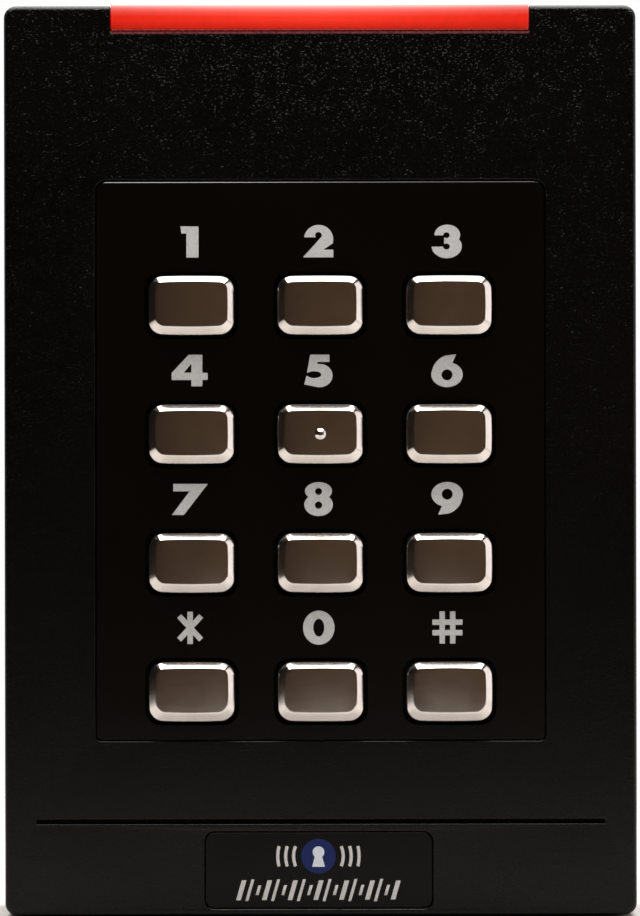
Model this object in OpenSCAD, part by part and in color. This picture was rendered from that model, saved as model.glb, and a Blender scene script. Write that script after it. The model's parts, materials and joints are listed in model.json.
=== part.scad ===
// Keypad access reader: a wall-mounted card reader with a twelve-key metal keypad and a red light bar.
// Frame: X to the right, Y into the wall, Z up. The wall is the plane y = 0 and the front faces -Y.
// The origin is the centre of the mounting plate's wall face. All sizes are in millimetres.

/* [Body] */
// Width of the housing where it meets the wall
body_w = 84.4; // [84.4:0.2:90]
// Height of the housing where it meets the wall
body_h = 121.3; // [121.3:0.2:130.1]
// Depth of the housing from the wall to its front face
body_d = 24; // [24:0.5:27]
// Taper of each side between the wall and the front face
side_draft = 0.2; // [0.1:0.1:0.6]
// Radius of the rounded front edges
edge_r = 0.7; // [0.4:0.1:0.8]
// Radius of the housing's corners, seen from the front
corner_r = 1.8; // [1.7:0.1:2.4]
// Thickness of the front wall
front_wall = 2.4; // [2.2:0.1:2.4]

/* [Light bar] */
// Width of the light bar in the top edge
bar_w = 55.5; // [50:0.1:56]
// Height of the light bar seen from the front
bar_h = 3.5; // [3.2:0.1:3.6]
// How far the light bar stands above the housing's top
bar_proud = 0.4; // [0.2:0.1:0.8]

/* [Keypad panel] */
// Width of the keypad panel
panel_w = 59.8; // [59.6:0.1:60]
// Height of the keypad panel
panel_h = 74.5; // [74.2:0.1:74.8]
// How far the panel lies below the housing's front face
panel_recess = 0.1; // [0.1:0.1:0.5]
// Radius of the panel's upper corners
panel_top_r = 1.6; // [1:0.1:2]
// Radius of the panel's lower corners
panel_low_r = 0.9; // [0.5:0.1:2]

/* [Keys] */
// Distance between key centres, across and down
key_pitch = 17.1; // [16.9:0.1:17.2]
// Width of a key
key_w = 11.4; // [10.8:0.1:11.6]
// Height of a key
key_h = 7.9; // [7.4:0.1:8.1]
// How far a key stands in front of the panel
key_proud = 2.2; // [1.6:0.1:2.6]
// Travel of a key
key_travel = 1.2; // [0.8:0.1:1.2]
// Gap between a key and the edge of its window
key_gap = 0.5; // [0.3:0.1:0.6]
// Height of the top row of keys above the panel's centre
top_row_z = 20.6; // [20.2:0.1:20.8]

/* [Wall fixings] */
// Distance between the upper and lower fixing slots, as on a single-gang wall box
gang_spacing = 83.3; // [83.3:0.1:84]
// Distance between the side fixing slots, as on a round wall box
round_box_spacing = 60; // [60:0.1:62]
// Width of a fixing slot
slot_w = 4.4; // [3.6:0.1:5]
// Length of a fixing slot from end to end
slot_l = 8; // [7:0.5:9]

/* [Hidden] */
$fn = 48;
hull_fn = 32;
eps = 0.02;

// How far a cut runs on beyond the face it opens
beyond = 1;

// Front to back positions on the Y axis, counted from the front face
front = -body_d;
wall_in = front + front_wall;
panel_face = front + panel_recess;
bezel_back = front + 3.3;
keypad_pcb_front = front + 7.4;
keypad_pcb_t = 1.2;
keypad_pcb_back = keypad_pcb_front + keypad_pcb_t;

// Front to back positions on the Y axis, counted from the wall
rim = -0.5;
plate_front = -3;
rear_back = -6;
rear_front = -8;
ledge = -9;
main_pcb_back = -10.6;
main_pcb_front = -12.2;

// Housing cavity: the wide part takes the rear housing and the wall plate, the narrow part the electronics
wide_w = body_w - 5.4;
wide_h = body_h - 5.4;
cavity_w = body_w - 8.6;
cavity_h = body_h - 8.6;
cavity_r = 1.5;

// Light bar heights on the Z axis
bar_top = body_h / 2 + bar_proud;
bar_low = body_h / 2 - bar_h;
bar_back = ledge - 0.6;
foot_low = body_h / 2 - 5.3;
foot_top = bar_low - 0.2;
foot_w = bar_w + 4.3;
foot_front = wall_in + 0.2;
foot_back = -13.6;

// Badge and groove on the lower front
badge_w = 30.4;
badge_h = 10.3;
badge_x = -0.3;
badge_z = 6.2 - body_h / 2;
badge_recess = 0.5;
badge_r = 1.3;
groove_w = 75.6;
groove_h = 0.6;
groove_depth = 1.4;
groove_floor = 0.5;
groove_z = 12.65 - body_h / 2;

// Keys, in reading order
KEY_IDS = ["1", "2", "3", "4", "5", "6", "7", "8", "9", "star", "0", "hash"];
key_count = len(KEY_IDS);
home_key = 4;
key_r = 1.8;
key_face = panel_face - key_proud;
key_back = bezel_back + 1.2;
key_flange_front = bezel_back + 0.3;
key_flange_margin = 1;
legend_rise = 8.45;
legend_shift = -0.25;
legend_depth = 0.4;

// Contact stack under each key: at full travel the pill stops just short of its pad
mat_t = 1;
mat_front = keypad_pcb_front - mat_t;
pad_t = 0.1;
pill_t = 0.6;
pill_r = 2;
pill_rest_gap = 0.05;
plunger_back = keypad_pcb_front - pad_t - pill_rest_gap - key_travel - pill_t;

// Fasteners: the housing screws, the small board screws and the retaining screw
housing_screw_x = body_w / 2 - 8;
housing_screw_z = body_h / 2 - 10.5;
housing_screw_r = 1.45;
housing_screw_l = 10;
small_screw_r = 0.8;
small_thread_r = 0.85;
small_head_r = 1.9;
small_head_t = 1.1;
keypad_screws_at = [[-28.3, -35.2], [28.3, -35.2], [-28.3, 36], [28.3, 36]];
board_screws_at = [[-26, -33], [26, -33], [-26, 42], [26, 42]];
retainer_y = -2.9;
retainer_seat = 1.7 - body_h / 2;
insert_r = 2;
insert_l = 6;
tab_top = 10.5 - body_h / 2;

// Wall plate
plate_w = wide_w - 1;
plate_h = wide_h - 1.2;
wire_w = 40;
wire_low = -18;
wire_high = 16;

// Hooks at the top of the wall plate
hook_x = 14;
hook_w = 8;
hook_z = 44;
hook_t = 2.2;
hook_lip = 5;
hook_front = -10.1;

// Terminal strip
ways = 10;
way_pitch = 3.5;
terminal_w = 36;
terminal_low = 6;
terminal_high = 14;
terminal_back = -4.4;

// Antenna around the keypad
coil_in_w = 65.5;
coil_in_h = 83.5;
coil_depth = 4;
coil_reach = 4;
coil_wall = 1;
coil_core_r = 2;

// Main board
main_pcb_w = 59;
main_pcb_low = -52;
main_pcb_high = 55;
guide_low = foot_low - 4.2;

function key_x(i) = (i % 3 - 1) * key_pitch;
function key_z(i) = top_row_z - floor(i / 3) * key_pitch;

// Points along part of an ellipse, from angle a to angle b
function arc(x, y, rx, ry, a, b, steps = 16) =
    [for (k = [0:steps]) [x + rx * cos(a + (b - a) * k / steps), y + ry * sin(a + (b - a) * k / steps)]];

// Solids from an outline drawn in the plane across the named axis
module along_y(from, to) {
    translate([0, to, 0]) rotate([90, 0, 0]) linear_extrude(to - from) children();
}

module along_x(half) {
    translate([-half, 0, 0]) rotate([90, 0, 90]) linear_extrude(2 * half) children();
}

module rod(x, z, r, from, to) {
    translate([x, to, z]) rotate([90, 0, 0]) cylinder(r = r, h = to - from);
}

// A box given by its low and high corners
module block(low, high) {
    translate(low) cube(high - low);
}

module ellipse(x, y, rx, ry) {
    polygon(arc(x, y, rx, ry, 0, 352.5, 47));
}

// A rectangle with its own radius for the upper and the lower corners
module panel_outline(w, h, top_r, low_r) {
    translate([-w / 2, low_r - h / 2]) square([w, h - top_r - low_r]);
    translate([top_r - w / 2, low_r - h / 2]) square([w - 2 * top_r, h - low_r]);
    translate([low_r - w / 2, -h / 2]) square([w - 2 * low_r, h - top_r]);
    for (side = [-1, 1]) {
        translate([side * (w / 2 - top_r), h / 2 - top_r]) circle(top_r);
        translate([side * (w / 2 - low_r), low_r - h / 2]) circle(low_r);
    }
}

module rounded(w, h, r) {
    panel_outline(w, h, r, r);
}

// A rounded frame; in_r is the radius of its inner corners
module ring(w, h, r, wall, in_r = 1.5) {
    difference() {
        rounded(w, h, r);
        rounded(w - 2 * wall, h - 2 * wall, in_r);
    }
}

module at_keys() {
    for (i = [0:key_count - 1]) translate([key_x(i), 0, key_z(i)]) children();
}

module at_points(points) {
    for (p = points) translate([p.x, 0, p.y]) children();
}

module at_corners(x, z) {
    at_points([[-x, -z], [x, -z], [-x, z], [x, z]]) children();
}

// ---- Housing ----

// The outer form: tapered sides and rounded front edges
module housing_form() {
    steps = 5;
    hull() {
        along_y(rim - eps, rim) rounded(body_w, body_h, corner_r, $fn = hull_fn);
        for (k = [0:steps]) {
            angle = 90 * k / steps;
            inset = side_draft + edge_r * (1 - cos(angle));
            y = front + edge_r * (1 - sin(angle));
            along_y(y, y + eps)
                rounded(body_w - 2 * inset, body_h - 2 * inset, corner_r - inset, $fn = hull_fn);
        }
    }
}

module light_bar_notch() {
    fit = 0.1;
    block(
        [-bar_w / 2 - fit, front - beyond, bar_low - fit],
        [bar_w / 2 + fit, bar_back + fit, body_h]
    );
    block(
        [-foot_w / 2 - fit, wall_in, cavity_h / 2 - 2],
        [foot_w / 2 + fit, foot_back + 0.2, foot_top + fit]
    );
}

// Seat of the retaining screw in the underside: a pocket open to the wall, and a clearance hole
module retainer_pocket() {
    pocket_r = 3;
    hole_r = 1.75;
    low = -body_h / 2 - 1;
    translate([0, retainer_y, low]) cylinder(r = pocket_r, h = retainer_seat - low);
    block([-pocket_r, retainer_y, low], [pocket_r, 1, retainer_seat]);
    translate([0, retainer_y, low]) cylinder(r = hole_r, h = 6);
}

// The groove above the badge: straight walls, then a V-shaped floor that stays dark
module groove() {
    half = groove_h / 2;
    wall_end = front + groove_depth - groove_floor;
    along_x(groove_w / 2) translate([0, groove_z]) polygon([
        [front - beyond, -half], [wall_end, -half], [front + groove_depth, 0],
        [wall_end, half], [front - beyond, half]
    ]);
}

module front_housing() color([0.06, 0.055, 0.05]) {
    boss_r = 3.5;
    opening_gap = 0.05;
    difference() {
        housing_form();
        along_y(ledge, 1) rounded(wide_w, wide_h, cavity_r);
        along_y(wall_in, ledge + 1) rounded(cavity_w, cavity_h, cavity_r);
        along_y(front - beyond, wall_in + 1)
            panel_outline(panel_w + 2 * opening_gap, panel_h + 2 * opening_gap, panel_top_r, panel_low_r);
        light_bar_notch();
        groove();
        along_y(front - beyond, front + badge_recess)
            translate([badge_x, badge_z]) rounded(badge_w, badge_h, badge_r);
        retainer_pocket();
    }
    at_corners(housing_screw_x, housing_screw_z) difference() {
        rod(0, 0, boss_r, wall_in - 0.5, rear_front);
        rod(0, 0, housing_screw_r + 0.05, rear_front - housing_screw_l + 1, 0);
    }
}

module badge_plate() color([0.09, 0.08, 0.07]) {
    gap = 0.15;
    along_y(front + 0.05, front + badge_recess)
        translate([badge_x, badge_z]) rounded(badge_w - 2 * gap, badge_h - 2 * gap, badge_r - gap);
}

// ---- Light bar ----

module light_bar_lens() color([0.85, 0.1, 0.06]) {
    top_r = 0.9;
    bar_front = front - 0.2;
    along_x(bar_w / 2) polygon(concat(
        [[bar_front, bar_low], [bar_back, bar_low], [bar_back, bar_top]],
        arc(bar_front + top_r, bar_top - top_r, top_r, top_r, 90, 180, 8)
    ));
    block([-bar_w / 2, foot_front, foot_low], [bar_w / 2, foot_back, bar_low + 0.5]);
    block([-foot_w / 2, foot_front, foot_low], [foot_w / 2, foot_back, foot_top]);
}

// Clear block that turns the light of the board's lamps up into the bar
module light_bar_guide() color([0.85, 0.87, 0.88]) {
    guide_back = main_pcb_front - 1.4;
    along_x(bar_w / 2 - 1.8) polygon([
        [foot_front, foot_low],
        [foot_front, foot_low - 0.8],
        [foot_front + foot_low - 0.8 - guide_low, guide_low],
        [guide_back, guide_low],
        [guide_back, foot_low]
    ]);
}

module light_bar_leds() color([0.9, 0.9, 0.85]) {
    led = [3.2, 1, 1.6];
    spacing = 9.6;
    for (k = [-2.5:1:2.5]) translate([k * spacing, main_pcb_front - led.y / 2, guide_low + 2])
        cube(led, center = true);
}

// ---- Keypad panel ----

module bezel_standoff(height_from) {
    difference() {
        rod(0, 0, 2.5, height_from, keypad_pcb_front);
        rod(0, 0, small_thread_r, keypad_pcb_front - 3.8, keypad_pcb_front + 1);
    }
}

// What the fine chamfer takes off the panel's upper front edge, at height z
module top_chamfer(z) {
    back = 0.09;
    down = 0.14;
    along_x(panel_w / 2) translate([panel_face, z])
        polygon([[-back, -2 * down], [2 * back, down], [-2 * back, 2 * down]]);
}

module keypad_bezel() color([0.04, 0.035, 0.03]) {
    gap = 0.2;
    flange = 1.8;
    difference() {
        union() {
            along_y(panel_face, wall_in + 0.3)
                panel_outline(panel_w - 2 * gap, panel_h - 2 * gap, panel_top_r - gap, panel_low_r - gap);
            along_y(wall_in, bezel_back)
                rounded(panel_w + 2 * flange, panel_h + 2 * flange, panel_top_r);
        }
        at_keys() along_y(front - beyond, 0)
            rounded(key_w + 2 * key_gap, key_h + 2 * key_gap, key_r + key_gap / 2);
        along_y(front - beyond, panel_face + legend_depth) legend_outlines();
        top_chamfer(panel_h / 2 - gap);
    }
    at_points(keypad_screws_at) bezel_standoff(bezel_back - 0.3);
}

// ---- Legends ----

// Each figure stands on the base line y = 0 with its left edge at x = 0
module figure_1() {
    polygon([[0, 4.15], [2.42, 4.15], [2.42, 0], [0.79, 0], [0.79, 3.2], [0.14, 3.2]]);
}

module figure_2() {
    polygon(concat(
        arc(2.09, 2.37, 1.96, 1.96, 171, -15),
        [[2.72, 1.03], [4.05, 1.03], [4.05, 0], [0, 0]],
        arc(2.07, 2.94, 0.44, 0.44, -38, 218)
    ));
}

module figure_3() {
    difference() {
        union() {
            ellipse(2.07, 2.96, 1.71, 1.36);
            ellipse(1.99, 1.44, 2.01, 1.58);
        }
        translate([-0.5, 1.4]) square([2.15, 1.5]);
        ellipse(1.95, 2.92, 0.42, 0.38);
        ellipse(1.95, 1.42, 0.46, 0.4);
    }
}

module figure_4() {
    difference() {
        polygon([
            [0, 0.84], [0, 1.79], [2.26, 4.2], [4.08, 4.2], [4.08, 1.79], [4.79, 1.79],
            [4.79, 0.84], [4.08, 0.84], [4.08, 0], [2.61, 0], [2.61, 0.84]
        ]);
        polygon([[2.61, 2.96], [2.61, 1.82], [1.6, 1.82]]);
    }
}

module figure_5() {
    polygon(concat(
        [[0.82, 4.19], [3.37, 4.19], [3.37, 3.21], [1.82, 3.21]],
        arc(2.04, 1.4, 1.74, 1.56, 100, -110),
        [[0, 0.22], [0.33, 1.39]],
        arc(1.33, 1.52, 0.95, 0.46, 200, 510),
        [[0.38, 1.85]]
    ));
}

module figure_6() {
    difference() {
        polygon(concat(
            arc(2.9, 1.7, 2.8, 2.5, 110, 172),
            arc(2.1, 1.5, 2.1, 1.66, 170, 430, 32),
            [[3.32, 4.2]]
        ));
        translate([2.1, 1.47]) circle(0.72);
    }
}

module figure_7() {
    polygon([[0.19, 4.14], [4.81, 4.14], [1.6, 0], [0, 0], [2.37, 3.15], [0.19, 3.15]]);
}

module figure_8() {
    difference() {
        union() {
            ellipse(1.9, 3.15, 1.8, 1.2);
            ellipse(1.9, 1.33, 1.9, 1.5);
        }
        translate([1.9, 3.1]) circle(0.46);
        translate([1.9, 1.28]) circle(0.48);
    }
}

module figure_9() {
    translate([4.2, 4.18]) rotate(180) figure_6();
}

module figure_0() {
    difference() {
        ellipse(2.1, 2.1, 2.1, 2.27);
        ellipse(2.1, 2.1, 0.73, 1.18);
    }
}

module figure_star() {
    stroke = 0.74;
    translate([1.72, 2.1]) for (tilt = [-43, 0, 43]) rotate(tilt) square([stroke, 4.3], center = true);
}

module figure_hash() {
    stroke = 0.72;
    middle = 2;
    for (side = [-0.7, 0.7]) {
        translate([middle + side, middle + 0.1]) square([stroke, 4.3], center = true);
        translate([middle, middle + 0.1 + side]) square([2 * middle, stroke], center = true);
    }
}

module figure(i) {
    if (i == 0) figure_1();
    if (i == 1) figure_2();
    if (i == 2) figure_3();
    if (i == 3) figure_4();
    if (i == 4) figure_5();
    if (i == 5) figure_6();
    if (i == 6) figure_7();
    if (i == 7) figure_8();
    if (i == 8) figure_9();
    if (i == 9) figure_star();
    if (i == 10) figure_0();
    if (i == 11) figure_hash();
}

// All the figures in their places, each centred a little left of its key
module legend_outlines() {
    widths = [2.42, 4.05, 4, 4.79, 3.78, 4.2, 4.81, 3.8, 4.2, 3.44, 4.2, 4];
    cap_height = 4.15;
    for (i = [0:key_count - 1])
        translate([key_x(i) + legend_shift - widths[i] / 2, key_z(i) + legend_rise - cap_height / 2])
            figure(i);
}

module key_legends() color([0.67, 0.66, 0.66]) {
    along_y(panel_face, panel_face + legend_depth) legend_outlines();
}

// ---- Keys ----

// The cap above the panel: straight sides, a wide bevel and a crowned face
module key_crown() {
    // Each row: inset from the key's outline, and distance back from the crown of the face
    rows = [[0, 1.3], [0.15, 0.85], [0.5, 0.42], [0.95, 0.14], [2.4, 0]];
    hull() {
        along_y(panel_face, panel_face + 1) rounded(key_w, key_h, key_r, $fn = hull_fn);
        for (row = rows) along_y(key_face + row[1], key_face + row[1] + eps)
            rounded(key_w - 2 * row[0], key_h - 2 * row[0], max(key_r - row[0], 0.6), $fn = hull_fn);
    }
}

module keycap(i) color([0.55, 0.52, 0.48]) translate([key_x(i), 0, key_z(i)]) {
    dot_r = 0.8;
    key_crown();
    along_y(panel_face + 0.5, key_flange_front + 0.3) rounded(key_w, key_h, key_r);
    along_y(key_flange_front, key_back)
        rounded(key_w + 2 * key_flange_margin, key_h + 2 * key_flange_margin, key_r);
    if (i == home_key) translate([0, key_face + 0.45, 0]) sphere(dot_r);
}

module pill(i) color([0.12, 0.12, 0.12]) {
    rod(key_x(i), key_z(i), pill_r, plunger_back, plunger_back + pill_t);
}

// ---- Contact mat and keypad board ----

// The thin skirt that lets a key sink and pushes it back
module mat_dome() {
    low_r = 4.6;
    high_r = 2.95;
    skin = 0.35;
    rise = mat_front - plunger_back;
    difference() {
        translate([0, mat_front + 0.2, 0]) rotate([90, 0, 0]) cylinder(r = low_r, h = 0.2);
        rod(0, 0, low_r - skin, mat_front - beyond, mat_front + 1);
    }
    difference() {
        translate([0, mat_front, 0]) rotate([90, 0, 0]) cylinder(r1 = low_r, r2 = high_r, h = rise);
        translate([0, mat_front, 0]) rotate([90, 0, 0])
            cylinder(r1 = low_r - skin, r2 = high_r - skin, h = rise);
    }
    along_y(key_back + eps, plunger_back) rounded(8.8, 6.2, 1.2);
}

module keymat() color([0.25, 0.25, 0.26]) {
    mat_w = 49;
    mat_h = 72;
    window = [5, 4.4];
    difference() {
        along_y(mat_front, keypad_pcb_front) translate([0, -0.5]) rounded(mat_w, mat_h, 2);
        at_keys() rod(0, 0, 4.25, mat_front - beyond, 0);
        at_keys() along_y(mat_front - beyond, 0)
            translate([legend_shift, legend_rise]) square(window, center = true);
    }
    at_keys() mat_dome();
}

module keypad_pcb() color([0.05, 0.22, 0.12]) {
    board = [62, 77.4];
    middle = 0.5;
    difference() {
        along_y(keypad_pcb_front, keypad_pcb_back) translate([0, middle]) rounded(board.x, board.y, 1.5);
        at_points(keypad_screws_at) rod(0, 0, small_screw_r + 0.3, keypad_pcb_front - beyond, 0);
    }
}

// A gold disc under each key, slit into strips that the carbon pill bridges
module contact_pads() color([0.8, 0.65, 0.3]) {
    pad_r = 2.4;
    slit = 0.25;
    at_keys() along_y(keypad_pcb_front - pad_t, keypad_pcb_front) difference() {
        circle(pad_r);
        for (k = [-1:1]) translate([k * 1.2, 0]) square([slit, 3 * pad_r], center = true);
    }
}

module backlight_leds() color([0.92, 0.9, 0.8]) {
    led = [2, 0.8, 1.25];
    at_keys() translate([legend_shift, keypad_pcb_front - led.y / 2, legend_rise]) cube(led, center = true);
}

// ---- Board connector ----

pins = 12;
pin_pitch = 2;
connector_z = 33;
connector_l = pins * pin_pitch + 1;
socket_t = 1.7;

module at_pins() {
    for (k = [0:pins - 1]) translate([(k - (pins - 1) / 2) * pin_pitch, 0, connector_z]) children();
}

module board_header() color([0.12, 0.12, 0.13]) {
    pin = 0.6;
    block_front = keypad_pcb_back;
    block_back = main_pcb_front - socket_t - 0.1;
    along_y(block_front, block_back) translate([0, connector_z]) square([connector_l, 2.5], center = true);
    at_pins() block([-pin / 2, block_back - 0.2, -pin / 2], [pin / 2, main_pcb_front - 0.4, pin / 2]);
}

module board_socket() color([0.12, 0.12, 0.13]) {
    hole = 0.8;
    difference() {
        along_y(main_pcb_front - socket_t, main_pcb_front)
            translate([0, connector_z]) square([connector_l, 2.5], center = true);
        at_pins() block(
            [-hole / 2, main_pcb_front - socket_t - 1, -hole / 2],
            [hole / 2, main_pcb_front - 0.3, hole / 2]
        );
    }
}

// ---- Antenna ----

module antenna_bobbin() color([0.85, 0.85, 0.82]) {
    cheek = 0.8;
    outer_r = 3;
    back = wall_in + coil_depth;
    along_y(wall_in, back)
        ring(coil_in_w + 2 * coil_wall, coil_in_h + 2 * coil_wall, coil_core_r, coil_wall);
    for (y = [wall_in, back - cheek]) along_y(y, y + cheek)
        ring(coil_in_w + 2 * coil_reach, coil_in_h + 2 * coil_reach, outer_r, coil_reach);
}

// Copper turns lying side by side on the bobbin, every other one a little smaller outside
module antenna_coil() color([0.72, 0.42, 0.2]) {
    turns = 5;
    wire = 0.44;
    build_up = 2.4;
    first = wall_in + 0.9;
    core_w = coil_in_w + 2 * coil_wall + 0.1;
    core_h = coil_in_h + 2 * coil_wall + 0.1;
    for (k = [0:turns - 1]) {
        reach = build_up - k % 2 * 0.1;
        along_y(first + k * wire, first + (k + 1) * wire)
            ring(core_w + 2 * reach, core_h + 2 * reach, coil_core_r + reach, reach, coil_core_r);
    }
}

// ---- Main board ----

module main_pcb() color([0.05, 0.22, 0.12]) {
    difference() {
        along_y(main_pcb_front, main_pcb_back)
            translate([-main_pcb_w / 2, main_pcb_low]) square([main_pcb_w, main_pcb_high - main_pcb_low]);
        at_points(board_screws_at) rod(0, 0, small_screw_r + 0.3, main_pcb_front - beyond, 0);
    }
}

sounder_z = -45;
sounder_r = 6;
sounder_t = 4.4;

module sounder_case() color([0.1, 0.1, 0.1]) {
    wall = 0.6;
    difference() {
        rod(0, sounder_z, sounder_r, main_pcb_front - sounder_t, main_pcb_front);
        rod(0, sounder_z, sounder_r - wall, main_pcb_front - sounder_t + wall, main_pcb_front - wall);
        rod(0, sounder_z, 1, main_pcb_front - sounder_t - 1, main_pcb_front - wall);
    }
}

module sounder_disc() color([0.8, 0.65, 0.3]) {
    mid = main_pcb_front - sounder_t / 2;
    rod(0, sounder_z, sounder_r - 0.7, mid - 0.1, mid + 0.1);
    rod(0, sounder_z, sounder_r - 2, mid + 0.1, mid + 0.3);
}

module controller_chip() color([0.13, 0.13, 0.14]) {
    side = 10;
    leg = 0.3;
    legs = 12;
    leg_pitch = 0.7;
    body_t = 1.2;
    translate([-14, main_pcb_front, -10]) {
        block([-side / 2, -body_t - 0.1, -side / 2], [side / 2, -0.1, side / 2]);
        for (turn = [0:90:270]) rotate([0, turn, 0])
            for (k = [0:legs - 1]) translate([(k - (legs - 1) / 2) * leg_pitch, 0, 0])
                block([-leg / 2, -0.4, side / 2 - 0.2], [leg / 2, 0, side / 2 + 1]);
    }
}

module rf_shield() color([0.75, 0.75, 0.73]) {
    can = [22, 2.2, 18];
    sheet = 0.3;
    translate([14, main_pcb_front, 12]) difference() {
        block([-can.x / 2, -can.y, -can.z / 2], [can.x / 2, 0, can.z / 2]);
        block(
            [sheet - can.x / 2, sheet - can.y, sheet - can.z / 2],
            [can.x / 2 - sheet, beyond, can.z / 2 - sheet]
        );
        for (x = [-8:4:8], z = [-6:4:6]) rod(x, z, 0.6, -can.y - 1, sheet - can.y + 0.5);
    }
}

module crystal() color([0.78, 0.78, 0.76]) {
    height = 1.6;
    along_y(main_pcb_front - height, main_pcb_front) translate([-15, 4]) rounded(11, 4.4, 2);
    along_y(main_pcb_front - 0.4, main_pcb_front) translate([-15, 4]) rounded(12, 5.2, 2.4);
}

module capacitors() color([0.7, 0.7, 0.72]) {
    can_r = 3.15;
    can_t = 4.6;
    foot = 6.6;
    for (x = [-23, -15]) translate([x, main_pcb_front, -46]) {
        rod(0, 0, can_r, -can_t, -0.8);
        block([-foot / 2, -1, -foot / 2], [foot / 2, 0, foot / 2]);
    }
}

module inductor() color([0.2, 0.2, 0.2]) {
    side = 7;
    height = 3;
    translate([20, 0, -46]) {
        along_y(main_pcb_front - 0.7, main_pcb_front) rounded(side, side, 1);
        along_y(main_pcb_front - height, main_pcb_front - height + 0.7) rounded(side, side, 1);
        rod(0, 0, side / 2 - 0.5, main_pcb_front - height + 0.5, main_pcb_front - 0.5);
    }
}

tamper_at = [-20, 30];

module tamper_sensor() color([0.08, 0.08, 0.09]) {
    eye_r = 0.7;
    size = [4.4, 3];
    difference() {
        along_y(main_pcb_back, main_pcb_back + 1.6) translate(tamper_at) square(size, center = true);
        for (side = [-1, 1]) rod(tamper_at.x + side, tamper_at.y, eye_r, main_pcb_back + 1.1, 0);
    }
}

// ---- Terminal strip ----

module at_ways() {
    for (k = [0:ways - 1]) translate([(k - (ways - 1) / 2) * way_pitch, 0, 0]) children();
}

terminal_screw_z = 10;
terminal_bore_r = 1.35;
clamp_front = -10;
clamp_back = -7;

module terminal_block() color([0.15, 0.35, 0.2]) {
    cage = 2.9;
    entry = 2.3;
    difference() {
        block(
            [-terminal_w / 2, main_pcb_back, terminal_low],
            [terminal_w / 2, terminal_back, terminal_high]
        );
        at_ways() {
            rod(0, terminal_screw_z, terminal_bore_r, clamp_back - 0.5, 0);
            block(
                [-cage / 2, clamp_front, terminal_low + 1.5],
                [cage / 2, clamp_back, terminal_high - 1.5]
            );
            block(
                [-entry / 2, clamp_front + 0.3, terminal_low - beyond],
                [entry / 2, clamp_back - 0.5, terminal_low + 2]
            );
        }
    }
}

module terminal_clamps() color([0.75, 0.6, 0.3]) {
    half = 1.3;
    wall = 0.45;
    at_ways() difference() {
        block([-half, clamp_front + 0.1, terminal_low + 1.8], [half, clamp_back - 0.1, terminal_high - 1.8]);
        block(
            [wall - half, clamp_front + 0.1 + wall, terminal_low],
            [half - wall, clamp_back - 0.1 - wall, terminal_high]
        );
        rod(0, terminal_screw_z, 0.85, clamp_back - 1, 0);
    }
}

module terminal_screws() color([0.7, 0.7, 0.7]) {
    head_r = 1.25;
    at_ways() difference() {
        union() {
            rod(0, terminal_screw_z, head_r, clamp_back + 0.2, terminal_back - 0.4);
            rod(0, terminal_screw_z, 0.8, clamp_back - 1.2, clamp_back + 0.4);
        }
        block([-0.2, terminal_back - 1.1, terminal_screw_z - 2], [0.2, terminal_back, terminal_screw_z + 2]);
    }
}

// ---- Rear housing ----

well_w = 44;
well_wall = 1.2;
well_floor = -9.4;

module wiring_well(grow, from, to) {
    block(
        [-well_w / 2 + well_wall - grow, from, wire_low - grow],
        [well_w / 2 - well_wall + grow, to, wire_high + grow]
    );
}

module rear_housing() color([0.07, 0.065, 0.06]) {
    gap = 0.3;
    standoff_r = 2.5;
    pad = [5, 12];
    hook_gap = 0.4;
    difference() {
        union() {
            along_y(rear_front, rear_back) rounded(wide_w - 2 * gap, wide_h - 2 * gap, cavity_r);
            wiring_well(well_wall, main_pcb_back + 0.2, rear_front + 0.5);
            at_points(board_screws_at) rod(0, 0, standoff_r, main_pcb_back, rear_front + 0.5);
            for (side = [-1, 1], z = [-28, 24])
                along_y(rear_back - 0.5, plate_front) translate([side * 35, z]) square(pad, center = true);
        }
        wiring_well(0, well_floor, 0);
        block(
            [-terminal_w / 2 - 0.2, main_pcb_back, terminal_low - 0.2],
            [terminal_w / 2 + 0.2, 0, terminal_high + 0.2]
        );
        at_points(board_screws_at) rod(0, 0, small_thread_r, main_pcb_back - 1, rear_back - 0.6);
        at_corners(housing_screw_x, housing_screw_z) rod(0, 0, housing_screw_r + 0.25, -10, 0);
        for (side = [-1, 1]) block(
            [side * hook_x - hook_w / 2 - hook_gap, -10, hook_z + hook_t - hook_lip - 1],
            [side * hook_x + hook_w / 2 + hook_gap, 0, hook_z + hook_t + 0.1]
        );
        rod(tamper_at.x, tamper_at.y, 2.5, -10, 0);
    }
}

module housing_gasket() color([0.2, 0.2, 0.2]) {
    along_y(ledge, rear_front) ring(wide_w - 0.6, wide_h - 0.6, cavity_r, 0.9);
}

// ---- Screws ----

module housing_screws() color([0.6, 0.6, 0.62]) {
    head_r = 2.75;
    head_t = 1.8;
    socket_r = 1.3;
    at_corners(housing_screw_x, housing_screw_z) difference() {
        union() {
            rod(0, 0, head_r, rear_back, rear_back + head_t);
            rod(0, 0, housing_screw_r, rear_back - housing_screw_l, rear_back + 0.5);
        }
        translate([0, rear_back + head_t + beyond, 0]) rotate([90, 0, 0])
            cylinder(r = socket_r, h = beyond + 1.1, $fn = 6);
    }
}

// A small screw on the Y axis: its head bears on the plane y = 0 and its shank runs into the wall side
module small_screw(length) {
    cross = [0.5, 2.2];
    cross_depth = 0.6;
    difference() {
        union() {
            rod(0, 0, small_head_r, -small_head_t, 0);
            rod(0, 0, small_screw_r, -0.3, length);
        }
        for (turn = [0, 90]) rotate([0, turn, 0]) block(
            [-cross.x / 2, -small_head_t - 1, -cross.y / 2],
            [cross.x / 2, cross_depth - small_head_t, cross.y / 2]
        );
    }
}

module board_screws() color([0.6, 0.6, 0.62]) {
    at_points(keypad_screws_at) translate([0, keypad_pcb_back, 0]) mirror([0, 1, 0]) small_screw(4.6);
    at_points(board_screws_at) translate([0, main_pcb_front, 0]) small_screw(5);
}

// ---- Wall plate ----

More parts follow.
